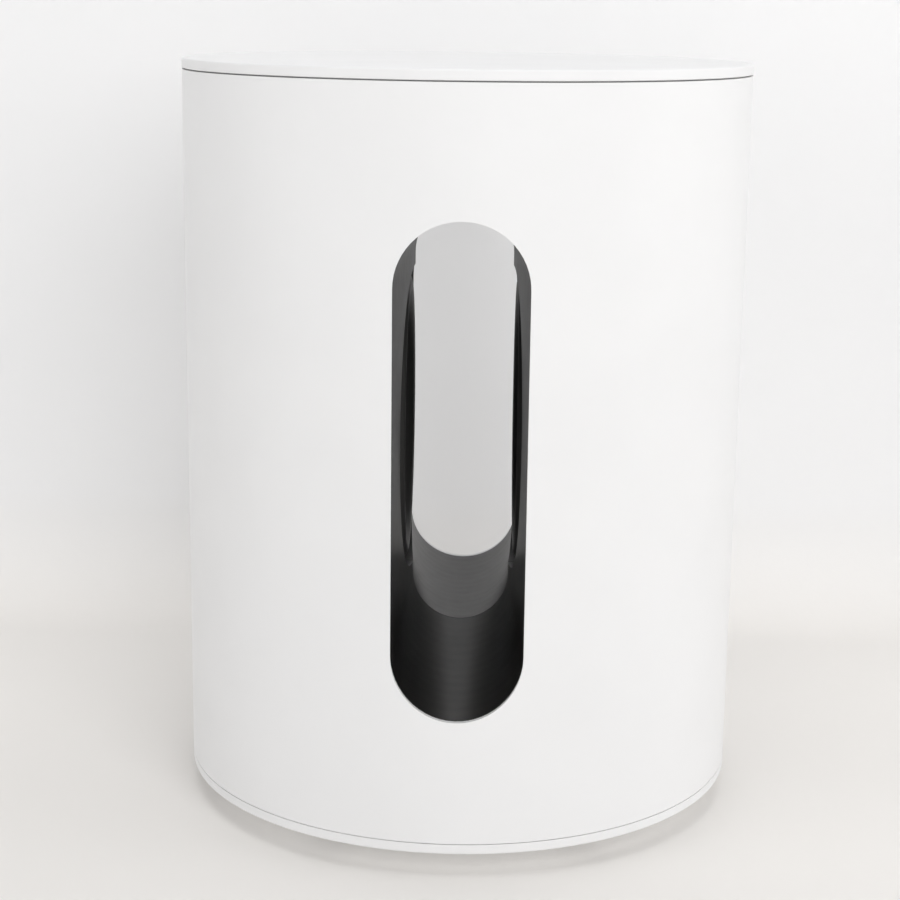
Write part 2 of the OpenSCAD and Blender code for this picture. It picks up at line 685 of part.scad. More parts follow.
// a round capacitor with a groove near its foot
module capacitor(r, h) rotate_extrude() polygon([
    [0, 0], [r - 0.6, 0], [r, 0.6], [r, 2], [r - 0.5, 2.6], [r, 3.2], [r, h - 0.8], [r - 0.8, h],
    [0, h]]);
module transformer() {
    translate([-16, -14, 0]) cube([32, 28, 4]);
    translate([-11, -14, 4]) cube([22, 28, 20]);
    for (x = [-16, 11])
        translate([x, -9, 4]) cube([5, 18, 20]);
}
// a coil wound on a ring, standing on a foot
module choke() {
    cylinder(r = 3, h = 3);
    translate([0, 0, 3]) ring(4, 9, 8);
    translate([-4, -1.5, 2]) cube([8, 3, 8]);
}
// an output coil with its bobbin's end on top
module output_coil() {
    cylinder(r = 6.5, h = 9);
    translate([0, 0, 9]) cylinder(r = 5, h = 1.5);
}
module power_components() color([0.2, 0.22, 0.3]) {
    on_board(-42, -20) transformer();
    on_board(-58, -46) capacitor(9, 25);
    on_board(-36, -48) capacitor(9, 25);
    on_board(-60, 14) choke();
    on_board(-14, -40) cube([8, 12, 10]);
    on_board(-15, -14) capacitor(5, 16);
    on_board(-15, 0) capacitor(5, 16);
}
module amplifier_components() color([0.15, 0.15, 0.16]) {
    for (x = [18, 34, 50])
        on_board(x, -44) output_coil();
    on_board(14, -24) capacitor(5, 18);
    on_board(14, -10) capacitor(5, 18);
    // chips
    on_board(36, 4) cube([14, 14, 1.2]);
    on_board(54, 10) cube([9, 9, 1.1]);
    on_board(27, 6) cube([5, 5, 1]);
    // sockets for the speaker cables
    on_board(5, -50) cube([6, 12, 8]);
    on_board(60, -18) cube([6, 12, 8]);
}
module heat_sink() color([0.6, 0.6, 0.62]) on_board(26, -30) {
    cube([28, 30, 3]);
    for (i = [0:6])
        translate([i * 4.4, 0, 0]) cube([1.6, 30, 18]);
}
module board_screws() color("silver") {
    at_points(board_screws_at, board_top) screw(1.15, 4.5, 2.8, 1.8);
    at_points(radio_screws_at, radio_z + radio_t) screw(1.15, 5, 2.4, 1.6);
}

// appliance inlet with two pins, facing the back of the cable recess
module oval_bar(w, h, y0, y1) {
    flat = w - h;
    for (s = [-1, 1])
        translate([s * flat / 2, y0, 0]) facing_back() cylinder(r = h / 2, h = y1 - y0);
    translate([-flat / 2, y0, -h / 2]) cube([flat, y1 - y0, h]);
}
module mains_inlet() color([0.1, 0.1, 0.1]) translate([inlet_x, pocket_y0, socket_z]) difference() {
    union() {
        translate([-10.4, -18, -6.3]) cube([20.8, 18.5, 12.9]);
        translate([-12.5, 0.09, -8.2]) cube([25, 1.5, 16.4]);
    }
    difference() {
        oval_bar(16.4, 9.2, -12, 5);
        for (x = [-4.3, 4.3])
            translate([x, -13, 0]) facing_back() cylinder(r = 1.2, h = 11);
    }
}
module network_socket() color([0.1, 0.1, 0.1]) translate([jack_x, pocket_y0, socket_z]) difference() {
    translate([-8, -20, -6.3]) cube([16, 20.5, 13.1]);
    translate([-5.9, -14, -3.6]) cube([11.8, 20, 7.2]);
    // steps for the plug's latch
    translate([-3.2, -14, -5.2]) cube([6.4, 20, 4]);
    translate([-1.6, -14, -6]) cube([3.2, 20, 4]);
}

// ---------------------------------------------------------------- controls
module join_button() color("white") translate([0, 0, button_z]) facing_back() {
    stem_r = 2;
    flange_r = button_r + 1.6;
    flange_t = 1.4;
    rotate_extrude() polygon(concat(
        [[0, button_back_y], [stem_r, button_back_y], [stem_r, button_flange_y - flange_t],
            [flange_r, button_flange_y - flange_t], [flange_r, button_flange_y],
            [button_r, button_flange_y]],
        arc(button_r - 0.5, button_face_y - 0.5, 0.5, 0, 90, 4),
        [[button_r * 0.7, button_face_y - 0.05], [button_r * 0.4, button_face_y - 0.25],
            [0, button_face_y - 0.3]]));
}
module button_board() color([0.1, 0.35, 0.2]) {
    difference() {
        translate([-18, button_board_y, button_z - 5]) cube([44, board_t, 10]);
        at_button_screws(button_board_y - 10) cylinder(r = 1.2, h = 20);
    }
    // push switch and the light's emitter
    translate([-3, button_board_y + board_t, button_z - 3]) cube([6, 1.8, 6]);
    translate([light_x - 1, button_board_y + board_t, button_z - 1]) cube([2, 0.8, 2]);
    for (x = button_board_screws)
        translate([x, button_board_y, button_z]) rotate([90, 0, 0]) screw(0.9, 5.5, 2, 1.2);
}
module status_light() color([0.9, 0.9, 0.88]) translate([light_x, 0, button_z]) facing_back() {
    flange_r = 1.9;
    rotate_extrude() polygon([
        [0, button_board_y + 2.6], [light_r, button_board_y + 2.6], [light_r, button_flange_y - 1.9],
        [flange_r, button_flange_y - 1.9], [flange_r, button_flange_y - 0.5],
        [light_r, button_flange_y - 0.5], [light_r, button_face_y - 0.9], [0, button_face_y - 0.8]]);
}

module radio_board() color([0.1, 0.35, 0.2]) translate([0, 0, radio_z]) {
    difference() {
        translate([-28, 20, 0]) cube([56, 36, radio_t]);
        at_points(radio_screws_at, -1) cylinder(r = 1.5, h = 5);
    }
    // shield can, chip and the two antenna sockets
    translate([-14, 28, radio_t]) cube([20, 20, 2.4]);
    translate([12, 32, radio_t]) cube([8, 8, 1.2]);
    for (s = [-1, 1])
        translate([s * 24, 38, radio_t]) cylinder(r = 1.2, h = 1.4);
}
module antennas() color([0.15, 0.15, 0.15]) for (s = [-1, 1])
    translate([s * (antenna_x + antenna_t / 2) - antenna_t / 2, -antenna_y, antenna_z])
        cube([antenna_t, 2 * antenna_y, antenna_h]);

// ---------------------------------------------------------------- cables and wadding
module speaker_cables() color([0.12, 0.12, 0.12])
    for (route = [right_route, right_twin, left_route, left_twin]) cable(smooth(route, 4), 1.1);
module antenna_cables() color([0.2, 0.2, 0.2])
    for (m = [0, 1]) mirror([m, 0, 0]) cable(smooth(antenna_route, 4), 0.6);

module wadding() color([0.85, 0.85, 0.82]) {
    middle = wadding_r - wadding_round;
    translate([0, 0, lid_z - lid_rib_h - 0.1 - wadding_t]) rotate_extrude() polygon(concat(
        [[0, 0]],
        arc(middle, wadding_round, wadding_round, -90, 0, 5),
        arc(middle, wadding_t - wadding_round, wadding_round, 0, 90, 5),
        [[0, wadding_t]]));
}

// ---------------------------------------------------------------- what is drawn
cabinet_shell();
top_cap();
top_cap_seal();
bottom_cap();
bottom_cap_seal();
bottom_cap_screws();
plinth();
plinth_screws();
foot_ring();
tunnel_front();
tunnel_rear();
tunnel_joint_seal();
tunnel_screws();
tunnel_mouth_seals();
baffle_screws();
frame_screws();
for (side = ["left", "right"]) {
    baffle(side);
    frame_gasket(side);
    frame(side);
    surround(side);
    cone(side);
    dust_cap(side);
    coil_former(side);
    voice_coil(side);
    spider(side);
    top_plate(side);
    magnet(side);
    yoke(side);
    terminals(side);
    lead_wires(side);
}
power_board();
power_components();
amplifier_board();
amplifier_components();
heat_sink();
board_screws();
mains_inlet();
network_socket();
join_button();
button_board();
status_light();
radio_board();
antennas();
antenna_cables();
speaker_cables();
wadding();
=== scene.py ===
import json
import math

import bmesh
import bpy
from mathutils import Matrix, Vector, noise


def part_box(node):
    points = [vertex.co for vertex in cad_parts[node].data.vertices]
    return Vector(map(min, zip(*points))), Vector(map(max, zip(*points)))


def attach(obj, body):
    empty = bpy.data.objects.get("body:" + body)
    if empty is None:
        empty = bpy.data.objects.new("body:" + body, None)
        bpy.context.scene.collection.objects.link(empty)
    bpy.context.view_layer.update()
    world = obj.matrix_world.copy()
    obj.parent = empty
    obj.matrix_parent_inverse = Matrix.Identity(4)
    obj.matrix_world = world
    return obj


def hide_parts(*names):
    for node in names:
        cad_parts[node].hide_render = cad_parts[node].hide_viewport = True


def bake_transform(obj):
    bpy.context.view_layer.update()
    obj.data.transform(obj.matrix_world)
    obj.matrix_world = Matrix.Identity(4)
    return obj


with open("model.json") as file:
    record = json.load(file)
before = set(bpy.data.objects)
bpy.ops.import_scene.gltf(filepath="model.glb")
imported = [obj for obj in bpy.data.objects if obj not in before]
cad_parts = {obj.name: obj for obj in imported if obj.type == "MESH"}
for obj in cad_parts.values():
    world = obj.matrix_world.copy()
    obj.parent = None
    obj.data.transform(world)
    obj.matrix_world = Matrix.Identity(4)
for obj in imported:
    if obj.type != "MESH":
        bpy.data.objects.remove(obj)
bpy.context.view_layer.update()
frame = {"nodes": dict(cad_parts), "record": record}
NODES = frame["nodes"]
MM = 0.001
SIDES = {"left": -1, "right": 1}


# ------------------------------------------------------------------ places, from the CAD
def mid(node):
    lo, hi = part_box(node)
    return (lo + hi) / 2


AXIS_Z = mid("left_cone").z
BODY_LO, BODY_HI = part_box("cabinet_shell")
BODY_R = (BODY_HI.x - BODY_LO.x) / 2
BASE_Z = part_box("bottom_cap")[0].z


# ------------------------------------------------------------------ camera
# degrees to the right, downwards and round the line of sight
CAMERA_YAW = -0.863
CAMERA_PITCH = 12.918
CAMERA_ROLL = 0.711
CAMERA_PLACE = (0.00708, -0.81269, BASE_Z + 0.31873)
# focal length and width of the sensor, in millimetres
CAMERA_LENS = 78.63
CAMERA_SENSOR = 36


def make_camera():
    """The camera stands 0.81 m in front of the body's axis and a little above the lid."""
    yaw, pitch, roll = (math.radians(a) for a in (CAMERA_YAW, CAMERA_PITCH, CAMERA_ROLL))
    forward = Vector((math.sin(yaw) * math.cos(pitch), math.cos(yaw) * math.cos(pitch), -math.sin(pitch)))
    level_right = Vector((math.cos(yaw), -math.sin(yaw), 0))
    level_up = level_right.cross(forward)
    right = level_right * math.cos(roll) + level_up * math.sin(roll)
    up = -level_right * math.sin(roll) + level_up * math.cos(roll)
    cam = bpy.data.objects.new("camera", bpy.data.cameras.new("camera"))
    cam.data.lens = CAMERA_LENS
    cam.data.sensor_width = CAMERA_SENSOR
    turn = Matrix((right, up, -forward)).transposed().to_4x4()
    turn.translation = Vector(CAMERA_PLACE)
    cam.matrix_world = turn
    bpy.context.scene.collection.objects.link(cam)
    bpy.context.scene.camera = cam


make_camera()


# ------------------------------------------------------------------ materials
class Look:
    """A node material: colour, roughness and bump each come from a pattern at their own scale."""

    def __init__(self, name, rough=0.5, metal=0.0, spec=0.5):
        self.mat = bpy.data.materials.new(name)
        self.mat.use_nodes = True
        self.tree = self.mat.node_tree
        self.shader = self.tree.nodes["Principled BSDF"]
        self.shader.inputs["Metallic"].default_value = metal
        self.shader.inputs["Roughness"].default_value = rough
        self.shader.inputs["Specular IOR Level"].default_value = spec
        self.coords = self.new("ShaderNodeTexCoord").outputs["Object"]

    def new(self, kind, **props):
        n = self.tree.nodes.new(kind)
        for k, v in props.items():
            setattr(n, k, v)
        return n

    def link(self, a, b):
        self.tree.links.new(a, b)

    def stretched(self, scale):
        """The object's coordinates, scaled along each axis."""
        m = self.new("ShaderNodeMapping")
        m.inputs["Scale"].default_value = scale
        self.link(self.coords, m.inputs["Vector"])
        return m.outputs["Vector"]

    def noise(self, size, detail=3.0, rough=0.5, vector=None, distortion=0.0):
        """Noise whose blobs are about size metres across."""
        n = self.new("ShaderNodeTexNoise")
        n.inputs["Scale"].default_value = 1 / size
        n.inputs["Detail"].default_value = detail
        n.inputs["Roughness"].default_value = rough
        n.inputs["Distortion"].default_value = distortion
        self.link(vector or self.coords, n.inputs["Vector"])
        return n.outputs["Fac"]

    def cells(self, size):
        """The distance to the nearest of many points, about size metres apart."""
        n = self.new("ShaderNodeTexVoronoi")
        n.inputs["Scale"].default_value = 1 / size
        self.link(self.coords, n.inputs["Vector"])
        return n.outputs["Distance"]

    def waves(self, size, direction):
        """Parallel bands across an axis, one every size metres."""
        n = self.new("ShaderNodeTexWave", bands_direction=direction)
        n.inputs["Scale"].default_value = math.pi / 10 / size
        n.inputs["Detail"].default_value = 1
        self.link(self.coords, n.inputs["Vector"])
        return n.outputs["Fac"]

    def ramp(self, fac, *stops):
        """Turns fac into grey by (place, grey) stops."""
        r = self.new("ShaderNodeValToRGB")
        for stop, (place, grey) in zip(r.color_ramp.elements, stops):
            stop.position = place
            stop.color = (grey, grey, grey, 1)
        self.link(fac, r.inputs["Fac"])
        return r.outputs["Color"]

    def mix(self, fac, a, b, mode="MIX"):
        m = self.new("ShaderNodeMix", data_type="RGBA", blend_type=mode)
        for value, key in ((fac, "Factor"), (a, "A"), (b, "B")):
            kind = "VALUE" if key == "Factor" else "RGBA"
            socket = next(s for s in m.inputs if s.name == key and s.type == kind)
            if isinstance(value, bpy.types.NodeSocket):
                self.link(value, socket)
            elif key == "Factor":
                socket.default_value = value
            else:
                socket.default_value = (*value, 1)
        return next(s for s in m.outputs if s.type == "RGBA")

    def colour(self, socket):
        self.link(socket, self.shader.inputs["Base Color"])

    def roughness(self, fac, lo, hi):
        r = self.new("ShaderNodeMapRange")
        r.inputs["To Min"].default_value = lo
        r.inputs["To Max"].default_value = hi
        self.link(fac, r.inputs["Value"])
        self.link(r.outputs["Result"], self.shader.inputs["Roughness"])

    def bump(self, height, depth):
        """height runs from 0 to 1 over depth metres."""
        b = self.new("ShaderNodeBump")
        b.inputs["Distance"].default_value = depth
        b.inputs["Strength"].default_value = 1.0
        self.link(height, b.inputs["Height"])
        self.link(b.outputs["Normal"], self.shader.inputs["Normal"])


def moulded(name, a, b, rough, grain, depth, spec, blotch, metal=0.0, speck=None):
    """A moulded or painted surface: two close colours in soft blotches, and a fine tooth."""
    k = Look(name, metal=metal, spec=spec)
    base = k.mix(k.ramp(k.noise(blotch, 4), (0.35, 0.0), (0.65, 1.0)), a, b)
    if speck:
        base = k.mix(k.ramp(k.noise(0.0009, 2), (0.66, 0.0), (0.74, 0.5)), base, speck)
    k.colour(base)
    k.roughness(k.noise(blotch * 0.4, 5, 0.6), *rough)
    k.bump(k.noise(grain, 4, 0.6), depth)
    return k.mat


def brushed(name, a, b, rough, direction):
    """Metal with fine lines along one way and faint marks."""
    k = Look(name, metal=1.0)
    lines = k.noise(0.004, 5, 0.7, k.stretched(direction))
    k.colour(k.mix(k.ramp(k.noise(0.006, 5), (0.3, 0.0), (0.7, 1.0)), a, b))
    k.roughness(lines, *rough)
    k.bump(lines, 0.000004)
    return k.mat


def laminated(name, pitch, direction, a, b, rough, depth, metal):
    """Fine turns of wire or edges of sheets, in parallel bands."""
    k = Look(name, metal=metal)
    bands = k.waves(pitch, direction)
    k.colour(k.mix(bands, a, b))
    k.roughness(k.noise(0.003), *rough)
    k.bump(bands, depth)
    return k.mat


def foam(name, a, b):
    """Open-cell foam: colour b in the pores and a between them."""
    k = Look(name, rough=0.9, spec=0.2)
    pores = k.cells(0.0007)
    k.colour(k.mix(k.ramp(pores, (0.0, 1.0), (0.5, 0.0)), a, b))
    k.roughness(k.noise(0.002), 0.8, 0.95)
    k.bump(pores, 0.00012)
    return k.mat


def black_liner():
    """Smooth black plastic with a slight gloss, a little warm."""
    k = Look("black_liner", spec=0.30)
    tone = k.ramp(k.noise(0.03, 5), (0.3, 0.0), (0.7, 1.0))
    k.colour(k.mix(tone, (0.0075, 0.007, 0.0065), (0.0125, 0.0115, 0.0105)))
    k.roughness(k.noise(0.008, 5, 0.65), 0.32, 0.40)
    k.bump(k.noise(0.0006, 4, 0.6), 0.000012)
    return k.mat


def surround_rubber():
    """Matt black rubber."""
    k = Look("surround_rubber", spec=0.45)
    k.colour(k.mix(k.noise(0.01, 5), (0.046, 0.046, 0.045), (0.064, 0.064, 0.062)))
    k.roughness(k.noise(0.003, 5, 0.6), 0.38, 0.55)
    k.bump(k.noise(0.0009, 4), 0.00002)
    return k.mat


def cone_black():
    """Pressed fibre with a faint lay of strands."""
    k = Look("cone_black", spec=0.35)
    lay = k.noise(0.0016, 6, 0.75, k.stretched((1, 2.2, 1)), 1.2)
    k.colour(k.mix(k.ramp(lay, (0.35, 0.0), (0.72, 1.0)), (0.022, 0.022, 0.022), (0.060, 0.060, 0.060)))
    k.roughness(lay, 0.62, 0.85)
    k.bump(lay, 0.00006)
    return k.mat


def tinsel():
    """Braided bare wire."""
    k = Look("tinsel", metal=1.0)
    braid = k.cells(0.0004)
    k.colour(k.mix(braid, (0.62, 0.42, 0.26), (0.85, 0.66, 0.46)))
    k.roughness(k.noise(0.002), 0.3, 0.5)
    k.bump(braid, 0.00006)
    return k.mat


def spider_cloth():
    """Woven cloth stiffened with amber resin."""
    k = Look("spider_cloth", spec=0.4)
    weave = k.mix(1.0, k.waves(0.0007, "Y"), k.waves(0.0007, "Z"), "MULTIPLY")
    k.colour(k.mix(weave, (0.22, 0.10, 0.025), (0.60, 0.36, 0.12)))
    k.roughness(k.noise(0.004), 0.55, 0.8)
    k.bump(weave, 0.00012)
    return k.mat


def ferrite():
    """Sintered dark grey ceramic, finely pitted."""
    k = Look("ferrite", spec=0.4)
    tone = k.ramp(k.noise(0.0018, 6, 0.7), (0.35, 0.0), (0.7, 1.0))
    k.colour(k.mix(tone, (0.030, 0.030, 0.032), (0.075, 0.074, 0.076)))
    k.roughness(k.noise(0.004, 5), 0.45, 0.7)
    k.bump(k.noise(0.0012, 6, 0.7), 0.00008)
    return k.mat


def circuit_board():
    """Green mask over copper tracks, with tinned pads."""
    k = Look("circuit_board", spec=0.5)
    tracks = k.new("ShaderNodeTexBrick")
    for key, value in (("Scale", 260), ("Mortar Size", 0.012), ("Mortar Smooth", 0.3),
                       ("Row Height", 0.35), ("Brick Width", 1.7)):
        tracks.inputs[key].default_value = value
    k.link(k.coords, tracks.inputs["Vector"])
    pads = k.ramp(k.cells(0.0032), (0.16, 1.0), (0.2, 0.0))
    green = k.mix(tracks.outputs["Fac"], (0.008, 0.075, 0.030), (0.018, 0.13, 0.05))
    k.colour(k.mix(pads, green, (0.55, 0.50, 0.40)))
    k.roughness(k.noise(0.004, 4), 0.25, 0.4)
    k.bump(tracks.outputs["Fac"], 0.00004)
    return k.mat


def clear_lens():
    """Frosted clear plastic that scatters a little light."""
    k = Look("clear_lens", spec=0.5)
    k.colour(k.mix(k.noise(0.002), (0.70, 0.71, 0.72), (0.80, 0.81, 0.82)))
    k.roughness(k.noise(0.0015), 0.12, 0.25)
    k.bump(k.noise(0.0006), 0.000006)
    k.shader.inputs["Subsurface Weight"].default_value = 0.25
    k.shader.inputs["Subsurface Radius"].default_value = (0.002, 0.002, 0.002)
    return k.mat


def wadding_white():
    """Loose white fibres with a sheen."""
    k = Look("wadding_white", spec=0.2)
    fibres = k.noise(0.0022, 8, 0.8, k.stretched((1, 1, 2.5)), 2.5)
    k.colour(k.mix(k.ramp(fibres, (0.3, 0.0), (0.7, 1.0)), (0.55, 0.55, 0.53), (0.82, 0.82, 0.80)))
    k.roughness(fibres, 0.85, 1.0)
    k.bump(fibres, 0.0006)
    k.shader.inputs["Sheen Weight"].default_value = 0.3
    return k.mat


# name, two colours, roughness, grain, depth of the grain, specular level, size of the blotches
MOULDED = [
    ("white_shell", (0.812, 0.812, 0.816), (0.826, 0.826, 0.83), (0.4, 0.48), 0.00035, 0.000012, 0.42, 0.05),
    ("white_button", (0.78, 0.78, 0.79), (0.82, 0.82, 0.825), (0.34, 0.42), 0.0003, 0.000008, 0.45, 0.004),
    ("pale_base", (0.715, 0.715, 0.715), (0.735, 0.735, 0.735), (0.5, 0.65), 0.0006, 0.00003, 0.4, 0.01),
    ("terminal_board", (0.16, 0.07, 0.02), (0.24, 0.11, 0.035), (0.4, 0.55), 0.0008, 0.00003, 0.4, 0.004),
    ("components", (0.014, 0.014, 0.015), (0.03, 0.03, 0.031), (0.4, 0.6), 0.0005, 0.00003, 0.45, 0.003),
    ("capacitor_sleeve", (0.01, 0.016, 0.035), (0.016, 0.024, 0.05), (0.2, 0.32), 0.001, 0.00001, 0.5, 0.004),
    ("winding_tape", (0.60, 0.42, 0.06), (0.74, 0.54, 0.10), (0.3, 0.45), 0.0012, 0.00004, 0.5, 0.005),
    ("socket_black", (0.014, 0.014, 0.014), (0.024, 0.024, 0.024), (0.35, 0.5), 0.0005, 0.00002, 0.5, 0.005),
    ("cable_black", (0.010, 0.010, 0.010), (0.02, 0.02, 0.02), (0.35, 0.5), 0.0012, 0.00003, 0.45, 0.006),
    ("cable_red", (0.30, 0.012, 0.010), (0.42, 0.02, 0.016), (0.35, 0.5), 0.0012, 0.00003, 0.45, 0.006),
]
# the same, and then how metallic it is and the colour of its specks, if it has any
SPECKLED = [
    ("foot_rubber", (0.03, 0.03, 0.031), (0.05, 0.05, 0.05), (0.7, 0.85), 0.0008, 0.00004, 0.3, 0.006,
     0.0, (0.09, 0.09, 0.088)),
    ("cast_frame", (0.016, 0.016, 0.018), (0.03, 0.03, 0.032), (0.42, 0.6), 0.0009, 0.00006, 0.5, 0.006,
     0.2, (0.07, 0.07, 0.075)),
    ("plate_steel", (0.014, 0.014, 0.016), (0.028, 0.028, 0.03), (0.35, 0.5), 0.0007, 0.00003, 0.5, 0.01,
     0.1, None),
    ("antenna_board", (0.006, 0.05, 0.022), (0.010, 0.075, 0.03), (0.3, 0.42), 0.0006, 0.00002, 0.5, 0.003,
     0.0, (0.45, 0.36, 0.2)),
]
# name, two colours, roughness, how much finer the lines are along X, Y and Z
BRUSHED = [
    ("former_aluminium", (0.55, 0.56, 0.58), (0.72, 0.72, 0.74), (0.25, 0.4), (40, 1, 1)),
    ("zinc_steel", (0.48, 0.49, 0.50), (0.66, 0.66, 0.68), (0.28, 0.46), (3, 1, 1)),
    ("screw_steel", (0.30, 0.30, 0.31), (0.48, 0.48, 0.50), (0.28, 0.42), (1, 1, 6)),
    ("tin_brass", (0.55, 0.53, 0.46), (0.74, 0.72, 0.64), (0.22, 0.38), (1, 20, 1)),
    ("capacitor_top", (0.60, 0.60, 0.62), (0.76, 0.76, 0.78), (0.2, 0.35), (20, 1, 1)),
    ("sink_aluminium", (0.42, 0.42, 0.44), (0.58, 0.58, 0.60), (0.3, 0.46), (1, 1, 30)),
    ("contact_gold", (0.80, 0.56, 0.20), (0.92, 0.70, 0.32), (0.18, 0.3), (1, 1, 10)),
]
# name, pitch, direction, two colours, roughness, depth, how metallic it is
LAMINATED = [
    ("copper", 0.00032, "X", (0.28, 0.09, 0.035), (0.78, 0.36, 0.18), (0.25, 0.42), 0.00012, 1.0),
    ("core_steel", 0.0005, "X", (0.05, 0.05, 0.055), (0.26, 0.26, 0.27), (0.4, 0.6), 0.0001, 0.6),
]
# name, colour between the pores, colour in them: the two outside seams are paler than the foam inside
FOAM = [
    ("foam_seal", (0.05, 0.05, 0.052), (0.012, 0.012, 0.012)),
    ("lid_seal", (0.26, 0.26, 0.26), (0.18, 0.18, 0.18)),
    ("pale_seal", (0.60, 0.60, 0.60), (0.48, 0.48, 0.48)),
]
SINGLE = (
    black_liner, surround_rubber, cone_black, tinsel, spider_cloth, ferrite, circuit_board, clear_lens,
    wadding_white,
)


def build_looks():
    looks = {make.__name__: make() for make in SINGLE}
    tables = ((moulded, MOULDED + SPECKLED), (brushed, BRUSHED), (laminated, LAMINATED), (foam, FOAM))
    for maker, rows in tables:
        looks.update({row[0]: maker(*row) for row in rows})
    return looks


LOOKS = build_looks()
SLOT_OF = {s["node"]: s["material_slot"] for s in frame["record"]["subparts"]}


def paint(obj, *names):
    obj.data.materials.clear()
    for n in names:
        obj.data.materials.append(LOOKS[n])


for node_name, obj in NODES.items():
    paint(obj, SLOT_OF[node_name])
paint(NODES["top_cap_seal"], "lid_seal")
paint(NODES["bottom_cap_seal"], "pale_seal")


# ------------------------------------------------------------------ nodes with more than one material
# Ranges are in millimetres, where the CAD places the components on each board.
def below(v):
    return (-math.inf, v)


def above(v):
    return (v, math.inf)


def around(v, reach):
    return (v - reach, v + reach)


ANY = (-math.inf, math.inf)
FACES_UP = above(0.7)
FACES_SIDEWAYS = around(0, 0.5)


def within(x=ANY, y=ANY, z=ANY, normal_z=ANY):
    """A test of a face: its middle and the Z of its normal lie in these ranges."""
    def test(face):
        values = [v / MM for v in face.center] + [face.normal.z]
        return all(lo < v < hi for v, (lo, hi) in zip(values, (x, y, z, normal_z)))

    return test


def by_place(node, looks, rules):
    """Gives each face the look of the first rule whose test it passes, or else the first look."""
    obj = NODES[node]
    paint(obj, *looks)
    for f in obj.data.polygons:
        f.material_index = looks.index(next((look for look, test in rules if test(f)), looks[0]))


def paint_power_components():
    core_y = (-34.5, -5.5)
    small_caps = {"x": above(-21), "y": above(-20)}
    looks = ["components", "capacitor_sleeve", "capacitor_top", "core_steel", "winding_tape", "copper"]
    by_place("power_components", looks, [
        ("capacitor_top", within(y=below(-36), z=above(44.3), normal_z=FACES_UP)),
        ("capacitor_sleeve", within(x=below(-26.5), y=below(-36.5))),
        ("winding_tape", within(x=(-58.5, -52.9), y=core_y)),
        ("winding_tape", within(x=(-31.1, -25.5), y=core_y)),
        ("core_steel", within(x=(-58.5, -25.5), y=core_y, z=above(23))),
        ("copper", within(x=below(-50), y=above(4), z=above(22.4))),
        ("capacitor_top", within(normal_z=FACES_UP, **small_caps)),
        ("capacitor_sleeve", within(**small_caps)),
    ])


def paint_amplifier_components():
    caps = {"x": (8, 20), "y": (-30, -4)}
    by_place("amplifier_components", ["components", "capacitor_sleeve", "capacitor_top", "copper"], [
        ("capacitor_top", within(normal_z=FACES_UP, **caps)),
        ("capacitor_sleeve", within(**caps)),
        ("copper", within(x=above(11), y=below(-36), z=(21, 28.4), normal_z=FACES_SIDEWAYS)),
    ])


def paint_mains_inlet():
    """The two pins stand either side of the socket's middle."""
    socket_x = -20
    pin_x = 4.3
    pin_z = 26
    reach = 1.3
    pins = [
        within(x=around(socket_x + sign * pin_x, reach), y=(19.5, 31.5), z=around(pin_z, reach))
        for sign in (-1, 1)
    ]
    by_place("mains_inlet", ["socket_black", "tin_brass"], [("tin_brass", pin) for pin in pins])


def paint_terminals():
    """The tabs stand out from each terminal board, 8.03 mm outwards."""
    tab = 8.03
    for side, sign in SIDES.items():
        lo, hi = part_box(side + "_terminals")
        inner = max(abs(lo.x), abs(hi.x)) / MM - tab
        by_place(side + "_terminals", ["terminal_board", "tin_brass"], [
            ("tin_brass", within(x=above(inner) if sign > 0 else below(-inner), y=around(0, 6.6))),
        ])


def paint_small_boards():
    radio_top = above(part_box("radio_board")[0].z / MM + 1.25)
    by_place("radio_board", ["circuit_board", "capacitor_top", "components"], [
        ("capacitor_top", within(x=below(8), z=radio_top)),
        ("components", within(z=radio_top)),
    ])
    button_face = above(101.65)
    button_back = below(99.95)
    by_place("button_board", ["circuit_board", "components", "screw_steel"], [
        ("components", within(x=around(0, 3.2), y=button_face)),
        ("screw_steel", within(y=button_back)),
        ("screw_steel", within(x=around(-14, 1.2), y=button_face)),
        ("screw_steel", within(x=around(22, 1.2), y=button_face)),
    ])


paint_power_components()
paint_amplifier_components()
paint_mains_inlet()
paint_terminals()
paint_small_boards()


# ------------------------------------------------------------------ mesh pieces
def new_piece(name, verts, faces, look, sharp_from):
    """A mesh with outward normals, smooth except where it bends by more than sharp_from degrees."""
    mesh = bpy.data.meshes.new(name)
    mesh.from_pydata([tuple(v) for v in verts], [], faces)
    mesh.validate()
    obj = bpy.data.objects.new(name, mesh)
    bpy.context.scene.collection.objects.link(obj)
    bm = bmesh.new()
    bm.from_mesh(mesh)
    bmesh.ops.recalc_face_normals(bm, faces=bm.faces)
    bm.to_mesh(mesh)
    bm.free()
    paint(obj, look)
    mesh.shade_smooth()
    mesh.set_sharp_from_angle(angle=math.radians(sharp_from))
    return obj


def revolved(name, side, outline, look, steps, sharp_from):
    """A closed outline of (radius, distance outwards) in metres, turned round the woofer's axis."""
    sign = SIDES[side]
    n = len(outline)
    verts = []
    faces = []
    for i in range(steps):
        a = 2 * math.pi * i / steps
        for r, s in outline:
            verts.append((sign * s, r * math.sin(a), AXIS_Z + r * math.cos(a)))
    for i in range(steps):
        j = (i + 1) % steps
        for k in range(n):
            m = (k + 1) % n
            faces.append((i * n + k, i * n + m, j * n + m, j * n + k))
    return new_piece(name, verts, faces, look, sharp_from)


def directions(points):
    """The way that a path runs at each of its points."""
    last = len(points) - 1
    return [(points[min(i + 1, last)] - points[max(i - 1, 0)]).normalized() for i in range(last + 1)]


def ring(centre, u, v, radius, sides):
    """Points of a circle round the centre, in the plane of u and v."""
    angles = [2 * math.pi * k / sides for k in range(sides)]
    return [centre + (u * math.cos(a) + v * math.sin(a)) * radius for a in angles]


